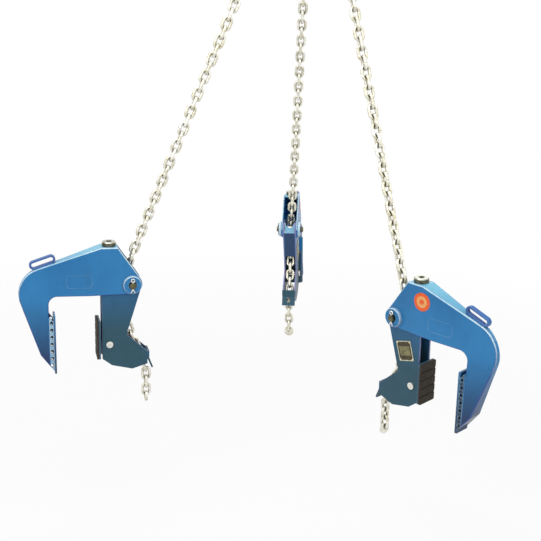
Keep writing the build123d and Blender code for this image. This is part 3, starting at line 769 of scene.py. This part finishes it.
def buildPlate(name, place, look):
    shape = bmesh.new()
    width, height, corner, top = look["width"], look["height"], look["corner"], look["thick"]
    rim, bevel = 2 * look["rim"], 2 * look["bevel"]
    outer = roundedOutline(width, height, corner)
    rimTop = roundedOutline(width - bevel, height - bevel, corner - look["bevel"])
    rimIn = roundedOutline(width - rim, height - rim, corner - 1)
    floorIn = roundedOutline(width - rim - bevel, height - rim - bevel, corner - 1 - look["bevel"])
    rimHigh = top + look["rimHeight"]
    rimSide = rimHigh - look["rimSide"]
    rows = [(outer, -0.1), (outer, rimSide), (rimTop, rimHigh), (rimIn, rimHigh), (floorIn, top)]
    slab(shape, rows, rimPaint)
    for face in shape.faces:
        if len(face.verts) > 4:  # the floor inside the rim
            face.material_index = darkPaint
    raisedField(shape, look, "panel", 0, olivePaint)
    for side in (1, -1):
        raisedField(shape, look, "bar", side * look["barOut"], darkPaint)
    rise, wide = look["rivetHeight"], look["rivetRadius"]
    dome = [(0, rise), (wide * 0.45, rise * 0.90), (wide * 0.8, rise * 0.6)]
    dome += [(wide, rise * 0.15), (wide, -0.3)]
    for sx in (1, -1):
        for sy in (1, -1):
            spot = (sx * look["rivetOut"][0], sy * look["rivetOut"][1], top)
            lathe(shape, dome, look["rivetSegments"], spot, rimPaint)
    mesh = finishMesh(shape, name + "_rating_plate")
    lean = Matrix.Rotation(math.radians(look["lean"]), 4, "Z")
    spot = place @ Matrix.Translation(Vector(look["spot"]) * mm) @ lean
    addPiece(name + "_rating_plate", mesh, spot, name + "_arm", "arm_paint", *platePaints)


# weld beads: boss rings, jaw seams, handle feet, web seams and bracket lip, in mm
welds = {
    "bossRadius": 24.6, "bossAcross": 25.1, "bossBead": 1.5, "bossSteps": 60,
    "jawOut": 214.6, "jawFrom": (-82.0, 16.8), "jawTo": (-212.0, 20.6), "jawBead": 1.5,
    "slope": 18.4, "handleSpot": (222.2, 53.0), "handleHalf": 22.0, "handleAcross": 6.2, "handleBead": 1.6,
    "webFrom": (-24.9, -7.5), "webTo": (0.2, -91.0), "webAcross": 16.5, "webBead": 1.1,
    "lipOut": -41.3, "lipFrom": -194.0, "lipTo": -212.0, "lipAcross": 20.2, "lipBead": 1.3,
}


def buildHousingWelds(name, place, look):
    shape = bmesh.new()
    lean = math.radians(look["slope"])
    foot = Vector((*look["handleSpot"], 0))
    along = Vector((math.cos(lean), -math.sin(lean), 0)) * look["handleHalf"]
    for side in (1, -1):
        radius, height, steps = look["bossRadius"], side * look["bossAcross"], look["bossSteps"]
        turns = [2 * math.pi * step / steps for step in range(steps)]
        ring = [(radius * math.cos(turn), radius * math.sin(turn), height) for turn in turns]
        bead(shape, ring, look["bossBead"], closed=True)
        seam = [(look["jawOut"], look[end][0], side * look[end][1]) for end in ("jawFrom", "jawTo")]
        bead(shape, seam, look["jawBead"])
        offset = Vector((0, 0, side * look["handleAcross"]))
        bead(shape, [foot - along + offset, foot + along + offset], look["handleBead"])
    mesh = finishMesh(shape, name + "_housing_welds")
    paint = finishes["housing_paint"]
    addPiece(name + "_housing_welds", mesh, place, name + "_housing", "housing_paint", paint)


def buildArmWelds(name, place, look):
    shape = bmesh.new()
    for side in (1, -1):
        webSeam = [(*look[end], side * look["webAcross"]) for end in ("webFrom", "webTo")]
        bead(shape, webSeam, look["webBead"])
        lipSeam = [(look["lipOut"], look[end], side * look["lipAcross"]) for end in ("lipFrom", "lipTo")]
        bead(shape, lipSeam, look["lipBead"])
    mesh = finishMesh(shape, name + "_arm_welds")
    addPiece(name + "_arm_welds", mesh, place, name + "_arm", "arm_paint", finishes["arm_paint"])


# butt weld on one side of every chain link, in mm
linkWeld = {
    "barLength": 13.0, "slack": 0.12,  # a link's straight side, by which it is found
    "barReach": 2.2,  # edges of one side lie within this many wire radii
    "linkReach": 20.5,  # the two sides of one link lie nearer than this
    "parallel": 0.98,  # and run the same way by at least this
    "wire": 4.0, "swell": 0.42, "half": 2.4, "sides": 18,
    "rows": ((-1, -0.25), (-0.75, 0.35), (-0.3, 0.9), (0, 1.0), (0.3, 0.9), (0.75, 0.35), (1, -0.25)),
}


def chainBars(node, look):  # middle and direction of each straight side of a link
    mesh = nodes[node].data
    points = np.zeros(len(mesh.vertices) * 3, np.float32)
    mesh.vertices.foreach_get("co", points)
    points = points.reshape(-1, 3) / mm
    ends = np.zeros(len(mesh.edges) * 2, np.int32)
    mesh.edges.foreach_get("vertices", ends)
    ends = ends.reshape(-1, 2)
    first, second = points[ends[:, 0]], points[ends[:, 1]]
    lengths = np.linalg.norm(second - first, axis=1)
    long = np.abs(lengths - look["barLength"]) < look["slack"]
    middles = (first[long] + second[long]) / 2
    runs = (second[long] - first[long]) / lengths[long][:, None]
    bars = []
    while len(middles):
        near = np.linalg.norm(middles - middles[0], axis=1) < look["barReach"] * look["wire"]
        near &= np.abs(runs @ runs[0]) > look["parallel"]
        bars.append((Vector(middles[near].mean(axis=0)), Vector(runs[0])))
        middles, runs = middles[~near], runs[~near]
    return bars


def sameLink(first, second, look):
    near = (first[0] - second[0]).length < look["linkReach"]
    return near and abs(first[1].dot(second[1])) > look["parallel"]


def buildLinkWelds(node, body, look):
    shape = bmesh.new()
    used = []
    for bar in chainBars(node, look):
        if any(sameLink(bar, other, look) for other in used):
            continue  # the other side of a link that has its weld
        used.append(bar)
        centre, along = bar
        side = along.orthogonal().normalized()
        other = along.cross(side)
        rings = []
        for share, swell in look["rows"]:
            radius = look["wire"] + look["swell"] * swell
            ring = []
            for step in range(look["sides"]):
                turn = 2 * math.pi * step / look["sides"]
                reach = (side * math.cos(turn) + other * math.sin(turn)) * radius
                ring.append(shape.verts.new((centre + along * (share * look["half"]) + reach) * mm))
            rings.append(ring)
        for lower, upper in zip(rings, rings[1:]):
            for step in range(look["sides"]):
                following = (step + 1) % look["sides"]
                shape.faces.new((lower[step], lower[following], upper[following], upper[step]))
        shape.faces.new(rings[0])
        shape.faces.new(rings[-1])
    mesh = finishMesh(shape, node + "_welds")
    addPiece(node + "_welds", mesh, Matrix.Identity(4), body, "zinc_chain", finishes["zinc_chain"])
    return len(used)


for name, place in places.items():
    buildSticker(name, place, sticker)
    buildPlate(name, place, ratingPlate)
    buildHousingWelds(name, place, welds)
    buildArmWelds(name, place, welds)
    counts = []
    for part in ("leg", "arm", "tail"):
        counts.append(buildLinkWelds(f"{name}_{part}_chain", f"{name}_{part}", linkWeld))
    print(name, "clamp dressed, link welds", counts)
